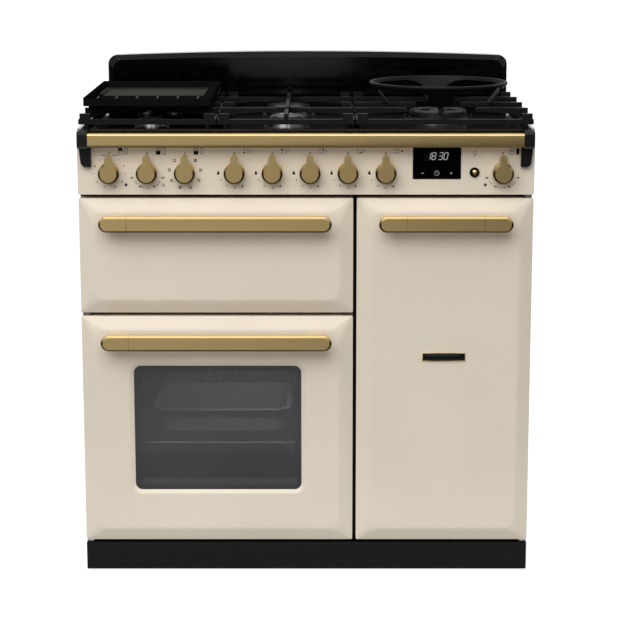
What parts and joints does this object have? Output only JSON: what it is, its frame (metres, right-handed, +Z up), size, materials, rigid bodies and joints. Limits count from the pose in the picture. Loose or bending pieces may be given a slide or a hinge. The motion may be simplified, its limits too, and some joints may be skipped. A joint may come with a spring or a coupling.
{
  "type": "range cooker",
  "caption": "Wide freestanding range cooker with side-hung oven doors, drop-down grill door, gas hob, griddle, wok cradle and handrail.",
  "frame": {"origin": "floor level, at the middle of the whole footprint", "axes": "+X to the right as seen from the front, -Y to the front, +Z up"},
  "size_m": [0.9, 0.651, 1.021],
  "materials": {
    "cream_enamel": "gloss",
    "brushed_brass": "satin",
    "black_paint": "satin",
    "black_enamel": "gloss",
    "oven_enamel": "gloss",
    "black_plastic": "gloss",
    "cast_iron": "matt",
    "chrome_wire": "polished",
    "zinc_steel": "satin",
    "burner_metal": "satin",
    "dark_glass": "gloss",
    "seal_rope": "matt",
    "element_metal": "matt",
    "foot_plastic": "matt"
  },
  "bodies": {
    "cabinet": {"base_frame": "zinc_steel", "side_panels": "black_paint", "rear_panel": "zinc_steel", "front_frame": "black_paint", "plinth": "black_paint", "oven_cavities": "oven_enamel", "oven_seals": "seal_rope", "shelf_supports": "chrome_wire", "elements_and_lamps": "element_metal", "fan_baffles": "oven_enamel", "fan_motors": "zinc_steel", "hinge_pins": "zinc_steel", "control_panel": "cream_enamel", "clock_and_button_bezel": "black_plastic", "gas_taps_and_switches": "zinc_steel", "handrail": "brushed_brass", "handrail_brackets": "black_plastic", "hob_tray": "black_enamel", "splashback": "black_enamel", "burner_bases": "burner_metal", "burner_heads": "burner_metal", "burner_caps": "black_enamel"},
    "left_oven_door": {"left_door_panel": "cream_enamel", "left_door_glass": "dark_glass", "left_door_liner": "oven_enamel", "left_door_handle": "brushed_brass"},
    "right_oven_door": {"right_door_panel": "cream_enamel", "right_door_liner": "oven_enamel", "right_door_handle": "brushed_brass"},
    "grill_door": {"grill_door_panel": "cream_enamel", "grill_door_liner": "oven_enamel", "grill_door_handle": "brushed_brass"},
    "upper_shelf_and_tin": {"left_shelf_upper": "chrome_wire", "roasting_tin": "black_enamel"},
    "lower_shelf": {"left_shelf_lower": "chrome_wire"},
    "right_upper_shelf": {"right_shelf_upper": "chrome_wire"},
    "right_lower_shelf": {"right_shelf_lower": "chrome_wire"},
    "glide_out_grill": {"grill_carriage": "zinc_steel", "grill_pan": "black_enamel", "grill_trivet": "chrome_wire"},
    "left_oven_fan": {"left_fan_blade": "zinc_steel"},
    "right_oven_fan": {"right_fan_blade": "zinc_steel"},
    "grill_knob_body": {"grill_knob": "brushed_brass"},
    "left_oven_knob_body": {"left_oven_knob": "brushed_brass"},
    "oven_function_knob_body": {"oven_function_knob": "brushed_brass"},
    "hob_knob_1_body": {"hob_knob_1": "brushed_brass"},
    "hob_knob_2_body": {"hob_knob_2": "brushed_brass"},
    "hob_knob_3_body": {"hob_knob_3": "brushed_brass"},
    "hob_knob_4_body": {"hob_knob_4": "brushed_brass"},
    "hob_knob_5_body": {"hob_knob_5": "brushed_brass"},
    "right_oven_knob_body": {"right_oven_knob": "brushed_brass"},
    "light_button_body": {"light_button": "brushed_brass"},
    "left_pan_support_body": {"left_pan_support": "cast_iron"},
    "centre_pan_support_body": {"centre_pan_support": "cast_iron"},
    "right_pan_support_body": {"right_pan_support": "cast_iron"},
    "griddle_body": {"griddle": "cast_iron"},
    "wok_cradle_body": {"wok_cradle": "cast_iron"},
    "left_foot_body": {"left_foot": "foot_plastic"},
    "right_foot_body": {"right_foot": "foot_plastic"},
    "rear_rollers_body": {"rear_rollers": "foot_plastic"}
  },
  "joints": [
    {"name": "left_oven_door_hinge", "type": "hinge", "parent": "cabinet", "child": "left_oven_door", "pos_m": [-0.44, -0.2575, 0.3], "axis": [0, 0, -1], "range_deg": [0, 110]},
    {"name": "right_oven_door_hinge", "type": "hinge", "parent": "cabinet", "child": "right_oven_door", "pos_m": [0.44, -0.2575, 0.419], "axis": [0, 0, 1], "range_deg": [0, 110]},
    {"name": "grill_door_hinge", "type": "hinge", "parent": "cabinet", "child": "grill_door", "pos_m": [-0.17825, -0.2645, 0.553], "axis": [1, 0, 0], "range_deg": [0, 90]},
    {"name": "left_upper_shelf_slide", "type": "slide", "parent": "cabinet", "child": "upper_shelf_and_tin", "axis": [0, -1, 0], "range_m": [0, 0.192]},
    {"name": "left_lower_shelf_slide", "type": "slide", "parent": "cabinet", "child": "lower_shelf", "axis": [0, -1, 0], "range_m": [0, 0.154]},
    {"name": "right_upper_shelf_slide", "type": "slide", "parent": "cabinet", "child": "right_upper_shelf", "axis": [0, -1, 0], "range_m": [0, 0.192]},
    {"name": "right_lower_shelf_slide", "type": "slide", "parent": "cabinet", "child": "right_lower_shelf", "axis": [0, -1, 0], "range_m": [0, 0.154]},
    {"name": "grill_carriage_slide", "type": "slide", "parent": "cabinet", "child": "glide_out_grill", "axis": [0, -1, 0], "range_m": [0, 0.2435]},
    {"name": "left_fan_spin", "type": "hinge", "parent": "cabinet", "child": "left_oven_fan", "pos_m": [-0.17825, 0.1995, 0.3], "axis": [0, 1, 0], "continuous": true},
    {"name": "right_fan_spin", "type": "hinge", "parent": "cabinet", "child": "right_oven_fan", "pos_m": [0.27525, 0.1995, 0.419], "axis": [0, 1, 0], "continuous": true},
    {"name": "grill_knob_turn", "type": "hinge", "parent": "cabinet", "child": "grill_knob_body", "pos_m": [-0.387, -0.307, 0.823], "axis": [0, 1, 0], "range_deg": [-160, 160]},
    {"name": "left_oven_knob_turn", "type": "hinge", "parent": "cabinet", "child": "left_oven_knob_body", "pos_m": [-0.3126, -0.307, 0.823], "axis": [0, 1, 0], "range_deg": [0, 245]},
    {"name": "oven_function_knob_turn", "type": "hinge", "parent": "cabinet", "child": "oven_function_knob_body", "pos_m": [-0.2382, -0.307, 0.823], "axis": [0, 1, 0], "continuous": true},
    {"name": "hob_knob_1_turn", "type": "hinge", "parent": "cabinet", "child": "hob_knob_1_body", "pos_m": [-0.1407, -0.307, 0.823], "axis": [0, -1, 0], "range_deg": [0, 215]},
    {"name": "hob_knob_2_turn", "type": "hinge", "parent": "cabinet", "child": "hob_knob_2_body", "pos_m": [-0.0663, -0.307, 0.823], "axis": [0, -1, 0], "range_deg": [0, 215]},
    {"name": "hob_knob_3_turn", "type": "hinge", "parent": "cabinet", "child": "hob_knob_3_body", "pos_m": [0.0081, -0.307, 0.823], "axis": [0, -1, 0], "range_deg": [0, 215]},
    {"name": "hob_knob_4_turn", "type": "hinge", "parent": "cabinet", "child": "hob_knob_4_body", "pos_m": [0.0825, -0.307, 0.823], "axis": [0, -1, 0], "range_deg": [0, 215]},
    {"name": "hob_knob_5_turn", "type": "hinge", "parent": "cabinet", "child": "hob_knob_5_body", "pos_m": [0.1569, -0.307, 0.823], "axis": [0, -1, 0], "range_deg": [0, 215]},
    {"name": "right_oven_knob_turn", "type": "hinge", "parent": "cabinet", "child": "right_oven_knob_body", "pos_m": [0.387, -0.307, 0.823], "axis": [0, 1, 0], "range_deg": [0, 245]},
    {"name": "light_button_press", "type": "slide", "parent": "cabinet", "child": "light_button_body", "axis": [0, 1, 0], "range_m": [0, 0.003], "stiffness_N_per_m": 300, "springref_m": -0.002},
    {"name": "left_pan_support_lift", "type": "slide", "parent": "cabinet", "child": "left_pan_support_body", "axis": [0, 0, 1], "range_m": [0, 0.08]},
    {"name": "centre_pan_support_lift", "type": "slide", "parent": "cabinet", "child": "centre_pan_support_body", "axis": [0, 0, 1], "range_m": [0, 0.08]},
    {"name": "right_pan_support_lift", "type": "slide", "parent": "cabinet", "child": "right_pan_support_body", "axis": [0, 0, 1], "range_m": [0, 0.08]},
    {"name": "griddle_lift", "type": "slide", "parent": "left_pan_support_body", "child": "griddle_body", "axis": [0, 0, 1], "range_m": [0, 0.08]},
    {"name": "wok_cradle_lift", "type": "slide", "parent": "right_pan_support_body", "child": "wok_cradle_body", "axis": [0, 0, 1], "range_m": [0, 0.08]},
    {"name": "left_foot_screw", "type": "slide", "parent": "cabinet", "child": "left_foot_body", "axis": [0, 0, -1], "range_m": [0, 0.025]},
    {"name": "right_foot_screw", "type": "slide", "parent": "cabinet", "child": "right_foot_body", "axis": [0, 0, -1], "range_m": [0, 0.025]},
    {"name": "rear_rollers_roll", "type": "hinge", "parent": "cabinet", "child": "rear_rollers_body", "pos_m": [0, 0.2575, 0.017], "axis": [1, 0, 0], "continuous": true}
  ],
  "couplings": [
    {"joint": "left_upper_shelf_slide", "follows": "left_oven_door_hinge", "m_per_rad": 0.1},
    {"joint": "left_lower_shelf_slide", "follows": "left_oven_door_hinge", "m_per_rad": 0.08},
    {"joint": "right_upper_shelf_slide", "follows": "right_oven_door_hinge", "m_per_rad": 0.1},
    {"joint": "right_lower_shelf_slide", "follows": "right_oven_door_hinge", "m_per_rad": 0.08},
    {"joint": "grill_carriage_slide", "follows": "grill_door_hinge", "m_per_rad": 0.155}
  ]
}
